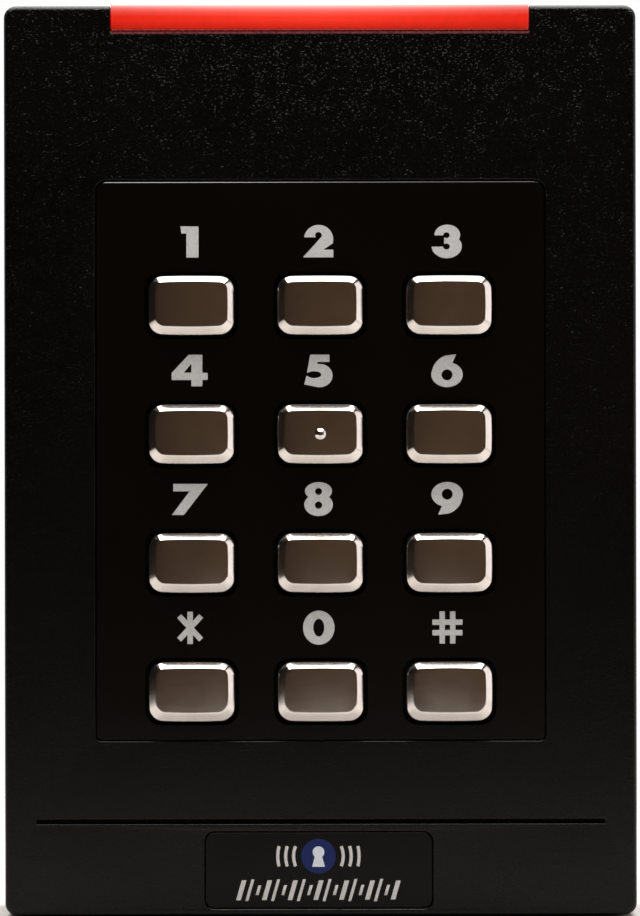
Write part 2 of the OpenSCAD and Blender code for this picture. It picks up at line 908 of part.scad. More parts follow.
module fixing_slot(x, z, upright) {
    along_y(plate_front - beyond, 1) translate([x, z]) rotate(upright ? 90 : 0) {
        square([slot_l - slot_w, slot_w], center = true);
        for (end = [-1, 1]) translate([end * (slot_l - slot_w) / 2, 0]) circle(slot_w / 2);
    }
}

module hook(x) {
    block([x - hook_w / 2, rear_front - 0.2, hook_z], [x + hook_w / 2, plate_front + 0.5, hook_z + hook_t]);
    block([x - hook_w / 2, hook_front, hook_z], [x + hook_w / 2, rear_front - 0.2, hook_z + hook_lip]);
}

module mounting_plate() color([0.1, 0.1, 0.1]) {
    tab_half = 5;
    tab_front = -5.6;
    difference() {
        union() {
            along_y(plate_front, 0) rounded(plate_w, plate_h, 2);
            block([-tab_half, tab_front, -plate_h / 2], [tab_half, plate_front + 0.5, tab_top]);
            for (side = [-1, 1]) hook(side * hook_x);
            rod(tamper_at.x, tamper_at.y, 2.2, plate_front - 2, plate_front + 0.5);
        }
        along_y(plate_front - beyond, 1)
            translate([0, (wire_low + wire_high) / 2]) rounded(wire_w, wire_high - wire_low, 3);
        for (side = [-1, 1]) {
            fixing_slot(0, side * gang_spacing / 2, true);
            fixing_slot(side * round_box_spacing / 2, 0, false);
        }
        translate([0, retainer_y, -body_h]) cylinder(r = insert_r, h = body_h - plate_h / 2 + insert_l);
    }
}

module plate_insert() color([0.78, 0.62, 0.3]) {
    bore_r = 1.5;
    low = -plate_h / 2;
    translate([0, retainer_y, low]) difference() {
        cylinder(r = insert_r, h = insert_l);
        translate([0, 0, -1]) cylinder(r = bore_r, h = insert_l + 2);
    }
}

module retaining_screw() color([0.65, 0.65, 0.66]) {
    head_r = 2.7;
    head_t = 1.5;
    shank_r = 1.42;
    socket_r = 1.2;
    translate([0, retainer_y, retainer_seat]) difference() {
        union() {
            translate([0, 0, -head_t]) cylinder(r = head_r, h = head_t);
            translate([0, 0, -0.3]) cylinder(r = shank_r, h = 6.8);
        }
        difference() {
            translate([0, 0, -head_t - 1]) cylinder(r = socket_r, h = 1.9, $fn = 6);
            translate([0, 0, -head_t - 1]) cylinder(r = 0.35, h = 3);
        }
    }
}

front_housing();
keypad_bezel();
key_legends();
light_bar_lens();
light_bar_guide();
badge_plate();
keymat();
keypad_pcb();
contact_pads();
backlight_leds();
main_pcb();
light_bar_leds();
board_header();
board_socket();
antenna_bobbin();
antenna_coil();
sounder_case();
sounder_disc();
controller_chip();
rf_shield();
crystal();
capacitors();
inductor();
tamper_sensor();
terminal_block();
terminal_screws();
terminal_clamps();
rear_housing();
housing_gasket();
housing_screws();
board_screws();
mounting_plate();
plate_insert();
retaining_screw();
for (i = [0:key_count - 1]) {
    keycap(i);
    pill(i);
}
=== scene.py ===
import json
import math

import bmesh
import bpy
from mathutils import Matrix, Vector
from mathutils.geometry import tessellate_polygon


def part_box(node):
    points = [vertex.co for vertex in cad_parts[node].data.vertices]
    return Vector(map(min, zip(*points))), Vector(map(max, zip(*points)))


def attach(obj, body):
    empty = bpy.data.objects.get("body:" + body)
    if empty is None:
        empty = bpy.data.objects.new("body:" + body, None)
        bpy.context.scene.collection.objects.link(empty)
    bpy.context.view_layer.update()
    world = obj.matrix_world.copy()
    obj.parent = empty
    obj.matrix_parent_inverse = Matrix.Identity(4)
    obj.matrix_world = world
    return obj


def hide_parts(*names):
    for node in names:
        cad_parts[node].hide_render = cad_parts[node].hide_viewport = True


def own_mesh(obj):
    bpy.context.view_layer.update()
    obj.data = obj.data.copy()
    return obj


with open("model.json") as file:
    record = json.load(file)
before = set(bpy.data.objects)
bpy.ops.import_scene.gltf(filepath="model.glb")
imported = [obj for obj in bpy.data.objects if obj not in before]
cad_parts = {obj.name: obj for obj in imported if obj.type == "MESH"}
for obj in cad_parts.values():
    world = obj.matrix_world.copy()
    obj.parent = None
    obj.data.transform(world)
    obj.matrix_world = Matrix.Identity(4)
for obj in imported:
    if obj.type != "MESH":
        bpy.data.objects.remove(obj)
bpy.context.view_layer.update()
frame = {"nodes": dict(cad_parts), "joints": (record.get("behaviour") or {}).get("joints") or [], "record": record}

MM = 0.001

# ---- Driving sizes, read from the frame ----

BODY_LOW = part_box("front_housing")[0]
PANEL_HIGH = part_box("keypad_bezel")[1]
BADGE_LOW, BADGE_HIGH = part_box("badge_plate")
BAR_LOW, BAR_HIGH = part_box("light_bar_lens")
MAT_LOW, MAT_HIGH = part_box("keymat")
LAMPS_LOW, LAMPS_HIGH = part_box("backlight_leds")
FRONT = BODY_LOW.y
KEY_IDS = ["1", "2", "3", "4", "5", "6", "7", "8", "9", "star", "0", "hash"]
HOME_KEY = "5"
KEY_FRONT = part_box("key_1")[0].y
# The light bar's foot runs further to each side, inside the housing, than the bar that shows
BAR_FOOT = 2.15 * MM
BAR_HALF_W = BAR_HIGH.x - BAR_FOOT
# How much of the bar's height shows in front, and where its lower edge meets the housing
BAR_SHOWN = 3.9 * MM
SEAM_Z = BAR_HIGH.z - BAR_SHOWN
# The panel's frame lies behind the housing; its face ends this much lower
PANEL_FRAME = 2.0 * MM
PANEL_TOP = PANEL_HIGH.z - PANEL_FRAME
# How far a key's hidden flange reaches past its outline
KEY_MARGIN = 1.0 * MM


# ---- Material helpers ----

def set_stops(color_ramp, stops):
    """stops is a list of (position, colour or number) from low to high."""
    elements = color_ramp.elements
    elements[0].position, elements[1].position = stops[0][0], stops[-1][0]
    for place, _ in stops[1:-1]:
        elements.new(place)
    for element, (_, value) in zip(elements, stops):
        element.color = (*value, 1) if isinstance(value, tuple) else (value, value, value, 1)


class Paint:
    """A procedural material built up node by node, on the object's own coordinates."""

    def __init__(self, name, **values):
        self.material = bpy.data.materials.new(name)
        self.material.use_nodes = True
        self.tree = self.material.node_tree
        self.shader = self.tree.nodes["Principled BSDF"]
        self.coords = self.tree.nodes.new("ShaderNodeTexCoord").outputs["Object"]
        for socket, value in values.items():
            self.shader.inputs[socket.replace("_", " ")].default_value = value

    def node(self, kind, inputs=None, **settings):
        made = self.tree.nodes.new(kind)
        for key, value in settings.items():
            setattr(made, key, value)
        for key, value in (inputs or {}).items():
            if isinstance(value, bpy.types.NodeSocket):
                self.tree.links.new(value, made.inputs[key])
            else:
                made.inputs[key].default_value = value
        return made

    def link(self, output, socket):
        self.tree.links.new(output, self.shader.inputs[socket])

    def stretched(self, scale):
        """The coordinates scaled on each axis, for grain that runs one way."""
        return self.node("ShaderNodeMapping", {"Vector": self.coords, "Scale": scale}).outputs["Vector"]

    def noise(self, size, detail=3.0, roughness=0.5, coords=None):
        """Noise whose features are about size metres across."""
        return self.node("ShaderNodeTexNoise", {
            "Vector": coords or self.coords,
            "Scale": 1 / size,
            "Detail": detail,
            "Roughness": roughness,
        }).outputs["Fac"]

    def ramp(self, factor, stops):
        """stops is a list of (position, colour or number)."""
        made = self.node("ShaderNodeValToRGB", {"Fac": factor})
        set_stops(made.color_ramp, stops)
        return made.outputs["Color"]

    def between(self, factor, low, high, start=0.3, end=0.7):
        """From low to high, two colours or two numbers, as the factor goes from start to end."""
        return self.ramp(factor, [(start, low), (end, high)])

    def map(self, value, from_low, from_high, to_low=0.0, to_high=1.0):
        """The value moved from one range to another, and held at its ends."""
        return self.node("ShaderNodeMapRange", {
            "Value": value, "From Min": from_low, "From Max": from_high, "To Min": to_low, "To Max": to_high,
        }).outputs["Result"]

    def mix(self, share, a, b, blend="MIX"):
        """Colour a with that share of b, by that blend. The node's own sockets go by number."""
        made = self.node("ShaderNodeMix", {0: share, 6: a, 7: b}, data_type="RGBA", blend_type=blend)
        return made.outputs[2]

    def axes(self):
        return self.node("ShaderNodeSeparateXYZ", {"Vector": self.coords}).outputs

    def math(self, operation, a, b):
        return self.node("ShaderNodeMath", {0: a, 1: b}, operation=operation).outputs[0]

    def size_of(self, value):
        """The value without its sign."""
        return self.math("ABSOLUTE", value, 0.0)

    def length(self, vector):
        return self.node("ShaderNodeVectorMath", {0: vector}, operation="LENGTH").outputs["Value"]

    def bump(self, height, distance, strength=1.0):
        """Relief of that depth in metres; it goes to the Normal socket."""
        inputs = {"Height": height, "Distance": distance, "Strength": strength}
        return self.node("ShaderNodeBump", inputs).outputs["Normal"]


def moulded(name, colour, roughness, grain, depth, spread=0.25):
    """Moulded plastic: uneven colour, a fine surface grain and a slightly uneven gloss."""
    paint = Paint(name)
    cloud = paint.noise(9 * MM, 4)
    darker = tuple(c * (1 - spread) for c in colour)
    lighter = tuple(c * (1 + spread) for c in colour)
    paint.link(paint.between(cloud, darker, lighter), "Base Color")
    fine = paint.noise(grain, 2, 0.6)
    paint.link(paint.between(fine, roughness * 0.88, min(1.0, roughness * 1.1)), "Roughness")
    paint.link(paint.bump(fine, depth), "Normal")
    return paint


def housing_plastic():
    """Black moulding with a spark-eroded grain of small pimples, thickest under the light bar."""
    paint = Paint("housing_plastic", Specular_IOR_Level=0.2)
    cloud = paint.noise(14 * MM, 4)
    paint.link(paint.between(cloud, (0.0009, 0.0008, 0.0007), (0.0017, 0.0015, 0.0013)), "Base Color")
    x, y, z = paint.axes()

    # The grain is thickest in an oval a little right of the middle, under the bar, and fainter lower down
    oval_w, oval_h = 35 * MM, 13 * MM
    from_oval = paint.node("ShaderNodeMapping", {
        "Vector": paint.coords,
        "Scale": (1 / oval_w, 0, 1 / oval_h),
        "Location": (-0.05, 0, -SEAM_Z / oval_h),
    }).outputs["Vector"]
    near = paint.map(paint.length(from_oval), 0.3, 1.5, 0.2, 0.0)
    upper = paint.map(z, -15 * MM, 35 * MM, 0.3, 1.0)
    narrow = paint.noise(0.27 * MM, 2, 0.5, paint.stretched((0.65, 1, 1.2)))
    wide = paint.noise(0.42 * MM, 2, 0.5, paint.stretched((0.6, 1, 1.3)))
    patches = paint.math("ADD", paint.noise(2.2 * MM, 3), near)
    spread = paint.ramp(patches, [(0.42, 0.06), (0.58, 0.26), (0.8, 0.75)])
    fine = paint.math("MULTIPLY", paint.between(narrow, 0.0, 1.0, 0.6, 0.74), spread)
    coarse = paint.math("MULTIPLY", paint.between(wide, 0.0, 1.0, 0.58, 0.74), 0.3)
    pimples = paint.math("MULTIPLY", paint.math("ADD", fine, coarse), upper)
    grain = paint.noise(0.2 * MM, 3, 0.6)
    relief = paint.math("ADD", pimples, paint.math("MULTIPLY", grain, 0.05))
    paint.link(paint.between(grain, 0.22, 0.3), "Roughness")
    paint.link(paint.bump(relief, 0.1 * MM, 0.9), "Normal")

    # Painted glow: red light that leaks through the seam onto the rim under the bar, painted on as emission
    off_rim = paint.size_of(paint.math("SUBTRACT", z, SEAM_Z - 0.28 * MM))
    rim = paint.map(off_rim, 0.06 * MM, 0.24 * MM, 1.0, 0.0)
    across = paint.map(paint.size_of(x), BAR_HALF_W - 0.1 * MM, BAR_HALF_W + 0.2 * MM, 1.0, 0.0)
    in_front = paint.map(y, FRONT + 0.2 * MM, FRONT + 0.5 * MM, 1.0, 0.0)
    mottle = paint.map(paint.noise(0.5 * MM, 3), 0.3, 0.7, 0.35, 1.0)
    on_rim = paint.math("MULTIPLY", rim, across)
    painted_glow = paint.math("MULTIPLY", on_rim, paint.math("MULTIPLY", in_front, mottle))
    paint.link(paint.between(painted_glow, (0.0, 0.0, 0.0), (0.20, 0.052, 0.055), 0.0, 1.0), "Emission Color")
    paint.shader.inputs["Emission Strength"].default_value = 1.0
    return paint


def panel_plastic():
    """Smoother black satin with a very fine texture."""
    paint = Paint("panel_plastic", Specular_IOR_Level=0.3, Coat_Roughness=0.12)
    cloud = paint.noise(20 * MM, 3)
    paint.link(paint.between(cloud, (0.0007, 0.0005, 0.0002), (0.0012, 0.0009, 0.0004)), "Base Color")
    fine = paint.noise(0.12 * MM, 2)
    paint.link(paint.between(fine, 0.15, 0.21), "Roughness")
    paint.link(paint.bump(fine, 0.0016 * MM, 0.6), "Normal")
    # The upper rim is polished
    rim = paint.map(paint.axes()["Z"], PANEL_TOP - 0.3 * MM, PANEL_TOP - 0.2 * MM)
    paint.link(rim, "Coat Weight")
    return paint


def satin(name, colour, roughness, grain, depth, specular):
    """Smooth moulded plastic with its own strength of gloss."""
    paint = moulded(name, colour, roughness, grain, depth)
    paint.shader.inputs["Specular IOR Level"].default_value = specular
    return paint


def printed_ink(name, low, high):
    """A thin printed layer: evenly coloured, with a fine speckle and a matt edge."""
    paint = Paint(name, Specular_IOR_Level=0.3)
    speckle = paint.noise(0.16 * MM, 4, 0.7)
    paint.link(paint.between(speckle, low, high), "Base Color")
    paint.link(paint.between(speckle, 0.45, 0.6), "Roughness")
    paint.link(paint.bump(speckle, 0.004 * MM, 0.6), "Normal")
    return paint


def legend_ink():
    """Pale moulded figures, faintly lit from behind, with a speckled matt skin."""
    paint = Paint("legend_ink", Specular_IOR_Level=0.3)
    speckle = paint.noise(0.2 * MM, 4, 0.7)
    paint.link(paint.between(speckle, (0.33, 0.325, 0.32), (0.48, 0.475, 0.465)), "Base Color")
    paint.link(paint.between(speckle, 0.55, 0.75), "Roughness")
    paint.link(paint.between(speckle, (0.26, 0.255, 0.25), (0.34, 0.335, 0.33)), "Emission Color")
    paint.shader.inputs["Emission Strength"].default_value = 0.34
    paint.link(paint.bump(speckle, 0.01 * MM, 0.7), "Normal")
    return paint


def key_metal():
    """Polished metal on the key's front, turning dark and dull on its side just above the panel."""
    metal_ends = KEY_FRONT + 1.15 * MM
    paint = Paint("key_metal")
    cloud = paint.noise(2.5 * MM, 3)
    metal_colour = paint.between(cloud, (0.60, 0.555, 0.52), (0.68, 0.63, 0.59))
    shown = paint.map(paint.axes()["Y"], metal_ends, metal_ends + 0.2 * MM, 1.0, 0.0)
    paint.link(paint.mix(shown, (0.003, 0.003, 0.003, 1), metal_colour), "Base Color")
    paint.link(shown, "Metallic")
    lines = paint.noise(0.6 * MM, 3, 0.6, paint.stretched((0.25, 1, 3)))
    gloss = paint.between(lines, 0.11, 0.155, 0.3, 0.75)
    dull = paint.math("MULTIPLY", paint.math("SUBTRACT", 1.0, shown), 0.5)
    paint.link(paint.math("ADD", gloss, dull), "Roughness")
    orange_peel = paint.noise(1.4 * MM, 2, 0.4)
    paint.link(paint.bump(orange_peel, 0.002 * MM, 0.4), "Normal")
    return paint


def red_lens():
    """Red polycarbonate lit from below, deep red at its foot, with a pale painted highlight along its upper edge.
    """
    paint = Paint("red_lens", Roughness=0.16, Coat_Weight=0.2, Coat_Roughness=0.06)
    x, y, z = paint.axes()
    cloud = paint.noise(2 * MM, 3)
    reach = paint.math("DIVIDE", paint.size_of(x), BAR_HIGH.x)
    rise = paint.map(z, SEAM_Z, BAR_HIGH.z)

    # Bright in the middle, redder towards both ends, and darker at its foot by the seam
    uneven = paint.math("ADD", reach, paint.math("MULTIPLY", cloud, 0.12))
    middle = paint.ramp(uneven, [
        (0.05, (0.80, 0.043, 0.022)), (0.55, (0.68, 0.024, 0.010)), (1.0, (0.54, 0.010, 0.003)),
    ])
    foot = paint.ramp(rise, [
        (0.0, (0.05, 0.02, 0.05)), (0.05, (0.12, 0.05, 0.1)), (0.1, (0.42, 0.1, 0.15)),
        (0.22, (0.62, 0.42, 0.35)), (0.35, (0.87, 0.74, 0.8)), (0.6, (1.0, 1.0, 1.0)),
    ])
    body = paint.mix(1.0, middle, foot, "MULTIPLY")

    # Painted highlight: a pale band along the upper edge, sinking a little towards the ends and fading behind the
    # front
    sag = paint.math("MULTIPLY", paint.math("MULTIPLY", reach, reach), 0.06)
    painted_highlight = paint.ramp(paint.math("SUBTRACT", rise, sag), [
        (0.45, 0.0), (0.60, 0.07), (0.66, 0.15), (0.73, 0.29), (0.76, 0.43), (0.8, 0.66), (0.85, 0.97),
        (1.0, 1.0),
    ])
    fore = paint.map(y, BAR_LOW.y + 0.8 * MM, BAR_LOW.y + 2.6 * MM, 1.0, 0.12)
    pale = paint.between(rise, (0.81, 0.84, 0.79), (0.70, 0.60, 0.57), 0.86, 0.94)
    paint.link(paint.mix(paint.math("MULTIPLY", painted_highlight, fore), body, pale), "Emission Color")
    paint.shader.inputs["Emission Strength"].default_value = 0.88
    paint.link(paint.between(cloud, (0.36, 0.013, 0.007), (0.44, 0.018, 0.009)), "Base Color")
    paint.link(paint.bump(cloud, 0.004 * MM, 0.4), "Normal")
    return paint


def clear_plastic():
    """Clear acrylic, as of the light guide."""
    paint = moulded("clear_plastic", (0.8, 0.82, 0.84), 0.15, 0.5 * MM, 0.002 * MM, 0.05)
    paint.shader.inputs["Transmission Weight"].default_value = 0.9
    return paint


def solder_mask():
    """Green circuit board: the copper tracks show through as paler, raised lines."""
    paint = Paint("solder_mask", Coat_Weight=0.4, Coat_Roughness=0.15)
    tracks = paint.node("ShaderNodeTexBrick", {
        "Vector": paint.node("ShaderNodeMapping", {
            "Vector": paint.coords, "Rotation": (math.radians(90), 0, 0),
        }).outputs["Vector"],
        "Scale": 180.0, "Mortar Size": 0.03, "Color1": (0, 0, 0, 1), "Color2": (0.1, 0.1, 0.1, 1),
        "Mortar": (1, 1, 1, 1),
    }).outputs["Color"]
    cloud = paint.noise(6 * MM)
    under = paint.math("ADD", tracks, paint.math("MULTIPLY", cloud, 0.35))
    paint.link(paint.ramp(under, [(0.1, (0.004, 0.045, 0.018)), (0.9, (0.02, 0.15, 0.06))]), "Base Color")
    paint.link(paint.between(cloud, 0.28, 0.42), "Roughness")
    paint.link(paint.bump(tracks, 0.02 * MM, 0.6), "Normal")
    return paint


def metal(name, colour, roughness, grain=0.4 * MM, stretch=(1, 1, 1)):
    """Bare or plated metal with fine machining lines and uneven gloss."""
    paint = Paint(name, Metallic=1.0)
    lines = paint.noise(grain, 3, 0.6, paint.stretched(stretch))
    dull = tuple(c * 0.8 for c in colour)
    paint.link(paint.ramp(lines, [(0.25, dull), (0.7, colour)]), "Base Color")
    paint.link(paint.between(lines, roughness * 0.8, roughness * 1.3), "Roughness")
    paint.link(paint.bump(lines, 0.004 * MM, 0.6), "Normal")
    return paint


def copper_winding():
    """Enamelled copper: thin bright turns with painted shade in the gaps between them."""
    paint = Paint("copper_winding", Metallic=1.0, Coat_Weight=0.6)
    turns = paint.node("ShaderNodeTexWave", {
        "Vector": paint.coords, "Scale": 2200.0, "Distortion": 0.2,
    }, bands_direction="Y").outputs["Fac"]
    # The ramp's dark end is painted shade in the gaps between the turns
    paint.link(paint.ramp(turns, [(0.1, (0.12, 0.035, 0.012)), (0.6, (0.75, 0.3, 0.12))]), "Base Color")
    paint.link(paint.ramp(turns, [(0.2, 0.5), (0.8, 0.25)]), "Roughness")
    paint.link(paint.bump(turns, 0.03 * MM), "Normal")
    return paint


SLOT_PAINTS = {
    "housing": housing_plastic(),
    "bezel": panel_plastic(),
    "legends": legend_ink(),
    "red_lens": red_lens(),
    "clear_guide": clear_plastic(),
    "badge": satin("badge_plastic", (0.0014, 0.0012, 0.0008), 0.22, 0.15 * MM, 0.002 * MM, 0.13),
    "silicone": moulded("silicone", (0.05, 0.05, 0.054), 0.7, 0.3 * MM, 0.006 * MM),
    "board": solder_mask(),
    "gold": metal("gold_plate", (0.85, 0.62, 0.27), 0.25),
    "lamps": moulded("lamp_resin", (0.85, 0.8, 0.55), 0.25, 0.3 * MM, 0.002 * MM),
    "connector_plastic": moulded("connector_plastic", (0.02, 0.02, 0.022), 0.5, 0.2 * MM, 0.008 * MM),
    "bobbin": moulded("bobbin_nylon", (0.62, 0.6, 0.53), 0.5, 0.3 * MM, 0.006 * MM),
    "copper": copper_winding(),
    "chip": moulded("epoxy", (0.014, 0.014, 0.015), 0.55, 0.1 * MM, 0.01 * MM),
    "tin": metal("tin_plate", (0.66, 0.65, 0.62), 0.32, 0.5 * MM, (1, 1, 4)),
    "can_metal": metal("drawn_aluminium", (0.75, 0.75, 0.77), 0.3),
    "ferrite": moulded("ferrite", (0.035, 0.034, 0.034), 0.6, 0.15 * MM, 0.015 * MM),
    "terminal_plastic": moulded("terminal_nylon", (0.015, 0.13, 0.045), 0.42, 0.25 * MM, 0.006 * MM),
    "zinc_steel": metal("zinc_steel", (0.62, 0.63, 0.65), 0.3, 0.3 * MM),
    "rear_plastic": moulded("rear_plastic", (0.0115, 0.011, 0.0105), 0.5, 0.25 * MM, 0.015 * MM),
    "gasket": moulded("gasket_rubber", (0.022, 0.022, 0.022), 0.85, 0.35 * MM, 0.03 * MM),
    "plate_plastic": moulded("plate_plastic", (0.014, 0.0135, 0.013), 0.52, 0.3 * MM, 0.02 * MM),
    "brass_insert": metal("turned_brass", (0.8, 0.6, 0.26), 0.28, 0.2 * MM, (1, 1, 6)),
    "key_metal": key_metal(),
    "carbon": moulded("carbon_rubber", (0.01, 0.01, 0.01), 0.8, 0.2 * MM, 0.01 * MM),
}

for part in frame["record"]["subparts"]:
    node = frame["nodes"][part["node"]]
    node.data.materials.clear()
    node.data.materials.append(SLOT_PAINTS[part["material_slot"]].material)


# ---- Mesh helpers ----

def finish_mesh(name, mesh_data, slot_name, body, smooth_angle=35, paint=None):
    """Makes an object from a bmesh, smooth but for its sharp edges, painted and riding on its body."""
    mesh = bpy.data.meshes.new(name)
    bmesh.ops.recalc_face_normals(mesh_data, faces=mesh_data.faces)
    for face in mesh_data.faces:
        face.smooth = True
    limit = math.radians(smooth_angle)
    for e in mesh_data.edges:
        if len(e.link_faces) == 2 and e.calc_face_angle() > limit:
            e.smooth = False
    mesh_data.to_mesh(mesh)
    mesh_data.free()
    mesh.materials.append((paint or SLOT_PAINTS[slot_name]).material)
    made = bpy.data.objects.new(name, mesh)
    bpy.context.scene.collection.objects.link(made)
    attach(made, body)
    return made


def skin(mesh_data, low, high):
    """Quads between two closed rings of vertices of equal length."""
    for k in range(len(low)):
        nxt = (k + 1) % len(low)
        mesh_data.faces.new([low[k], low[nxt], high[nxt], high[k]])


def loft(mesh_data, rings, centre=None):
    """A closed solid over rings of equal length. The last one closes on a centre point, or flat."""
    made = [[mesh_data.verts.new(p) for p in ring] for ring in rings]
    for low, high in zip(made, made[1:]):
        skin(mesh_data, low, high)
    mesh_data.faces.new(list(reversed(made[0])))
    last = made[-1]
    if centre is None:
        mesh_data.faces.new(last)
    else:
        tip = mesh_data.verts.new(centre)
        for k in range(len(last)):
            mesh_data.faces.new([last[k], last[(k + 1) % len(last)], tip])


def tube(mesh_data, rings):
    """Closed rings of equal length skinned round, the last one back to the first."""
    made = [[mesh_data.verts.new(p) for p in ring] for ring in rings]
    for low, high in zip(made, made[1:] + made[:1]):
        skin(mesh_data, low, high)


def rounded_outline(half_w, half_h, upper_r, lower_r, barrel=0.0, per_corner=10, per_side=8):
    """Points (x, z) round a rounded rectangle, whose sides bow out by barrel.

    It goes round from the right-hand end of the upper right corner, with per_corner steps round each corner
    and per_side steps along each side."""
    points = []
    for quarter in range(4):
        radius = upper_r if quarter < 2 else lower_r
        sx = 1 if quarter in (0, 3) else -1
        sz = 1 if quarter < 2 else -1
        cx, cz = sx * (half_w - radius), sz * (half_h - radius)
        for k in range(per_corner + 1):
            angle = math.radians(90) * (quarter + k / per_corner)
            points.append((cx + radius * math.cos(angle), cz + radius * math.sin(angle)))
        next_r = lower_r if quarter in (1, 2) else upper_r
        start = points[-1]
        end = {
            0: (-start[0], start[1]),
            1: (start[0], next_r - half_h),
            2: (-start[0], start[1]),
            3: (start[0], half_h - next_r),
        }[quarter]
        for k in range(1, per_side):
            t = k / per_side
            points.append((start[0] + (end[0] - start[0]) * t, start[1] + (end[1] - start[1]) * t))
    return [
        (x * (1 - barrel / half_w * (z / half_h) ** 2), z * (1 - barrel / half_h * (x / half_w) ** 2))
        for x, z in points
    ]


def at(outline, y, cx=0.0, cz=0.0):
    """The (x, z) outline as points (x, y, z), moved to that centre."""
    return [(cx + x, y, cz + z) for x, z in outline]


def soften(piece, radius, clamp=True, cut_flats=False):
    """Welds a piece's faces, joins flat ones and rounds every sharp edge; its own mesh stays as it is.

    Without the clamp, short edges don't hold the radius of the long ones down. cut_flats cuts wide flats that
    have holes in them into triangles first, so that none closes over a hole."""
    weld_distance = 0.001 * MM
    flat_within = 0.5       # degrees
    sharp_from = 35         # degrees
    weld = piece.modifiers.new("weld", "WELD")
    weld.merge_threshold = weld_distance
    flat = piece.modifiers.new("flat", "DECIMATE")
    flat.decimate_type = "DISSOLVE"
    flat.angle_limit = math.radians(flat_within)
    if cut_flats:
        cut = piece.modifiers.new("cut", "TRIANGULATE")
        cut.min_vertices = 5
    bevel = piece.modifiers.new("edge_radius", "BEVEL")
    bevel.width = radius
    bevel.segments = 2
    bevel.limit_method = "ANGLE"
    bevel.angle_limit = math.radians(sharp_from)
    bevel.use_clamp_overlap = clamp
    bevel.loop_slide = False
    normals = piece.modifiers.new("normals", "WEIGHTED_NORMAL")
    normals.weight = 100


def outline_plate(outlines, front, back):
    """A flat plate whose outlines are (x, z) loops; a loop inside another one is a hole."""
    cuts = tessellate_polygon([[Vector((x, front, z)) for x, z in outline] for outline in outlines])
    data = bmesh.new()
    rings = []
    for y in (front, back):
        rings.append([[data.verts.new(point) for point in at(outline, y)] for outline in outlines])
        verts = [vert for ring in rings[-1] for vert in ring]
        for corners in cuts:
            data.faces.new([verts[k] for k in corners])
    for low, high in zip(*rings):
        skin(data, low, high)
    return data


def circle(cx, cz, radius, points=32):
    return [
        (cx + radius * math.cos(math.tau * k / points), cz + radius * math.sin(math.tau * k / points))
        for k in range(points)
    ]


# ---- Keys ----

BARREL = 0.13 * MM         # how far each side of a key bows outwards
FACE_INSET = 1.03 * MM     # from a key's outline to the edge of its face
FACE_RISE = 0.16 * MM      # the face lies this much above the key's middle, so the lower bevel is the widest
FACE_FALL = 0.03 * MM      # how far the crowned face falls away towards its upper and lower edge
SIDE_FALL = 0.08 * MM      # the same towards its left and right edge, mostly close to the edge
UPPER_FACE_R = 0.75 * MM
LOWER_FACE_R = 1.05 * MM
KEY_R = 1.75 * MM          # corner radius of a key's outline
FLANGE_T = 0.9 * MM
FLANGE_SLOPE = 0.1 * MM    # the chamfer on the flange's edges
# From the outline to the face, in millimetres: (inset, depth behind the crowned face). A short wall, a wide
# bevel, then a tight turn onto the face
KEY_PROFILE = [
    (0.0, 0.92), (0.012, 0.84), (0.04, 0.785), (0.09, 0.73), (0.2, 0.628), (0.35, 0.492), (0.5, 0.358),
    (0.65, 0.232), (0.78, 0.122), (0.86, 0.058), (0.92, 0.024), (0.97, 0.008), (1.03, 0.0),
]
# The rings on the face, as shares of its outline
FACE_RINGS = (0.97, 0.92, 0.86, 0.78, 0.68, 0.56, 0.42, 0.28, 0.14)
# The home dot, in millimetres: (radius, height above the face). A 40 degree flank, then a rounded crown
DOT_PROFILE = [(0.76, -0.03), (0.72, 0.01), (0.36, 0.285), (0.29, 0.315), (0.2, 0.337), (0.1, 0.347)]
DOT_HEIGHT = 0.35 * MM


def key_rows(half_w, half_h, front, back, flange_front):
    """The rings of a key from its hidden flange to the edge of its face."""
    margin, slope = KEY_MARGIN, FLANGE_SLOPE
    flange = [
        (margin - slope, back), (margin, back - slope), (margin, flange_front + slope),
        (margin - slope, flange_front), (0, flange_front),
    ]
    rows = []
    for grow, y in flange:
        rows.append(at(rounded_outline(half_w + grow, half_h + grow, KEY_R + grow, KEY_R + grow), y))
    face = (half_w - FACE_INSET, half_h - FACE_INSET)
    for inset, depth in KEY_PROFILE:
        share = inset * MM / FACE_INSET
        upper_r = KEY_R + (UPPER_FACE_R - KEY_R) * share
        lower_r = KEY_R + (LOWER_FACE_R - KEY_R) * share
        outline = rounded_outline(half_w - inset * MM, half_h - inset * MM, upper_r, lower_r, BARREL)
        wall = front + depth * MM
        rows.append([(x, wall + crown_fall(x, z, *face), z + FACE_RISE * share) for x, z in outline])
    return rows


def crown_fall(x, z, half_w, half_h):
    """How far the crowned face lies behind its middle at that point."""
    across, up = min(1, abs(x) / half_w), min(1, abs(z) / half_h)
    return SIDE_FALL * across ** 3 + FACE_FALL * up ** 2


def crowned_face(half_w, half_h, front):
    """Rings across the face, crowned both ways, from its edge towards the middle."""
    edge = rounded_outline(half_w, half_h, UPPER_FACE_R, LOWER_FACE_R, BARREL)
    rings = []
    for share in FACE_RINGS:
        points = [(x * share, z * share) for x, z in edge]
        rings.append([(x, front + crown_fall(x, z, half_w, half_h), z + FACE_RISE) for x, z in points])
    return rings


def home_dot(mesh_data, front):
    """The small dome that a finger finds on the middle key."""
    rings = [at(circle(0, 0, radius * MM), front - height * MM) for radius, height in DOT_PROFILE]
    loft(mesh_data, rings, centre=(0, front - DOT_HEIGHT, 0))


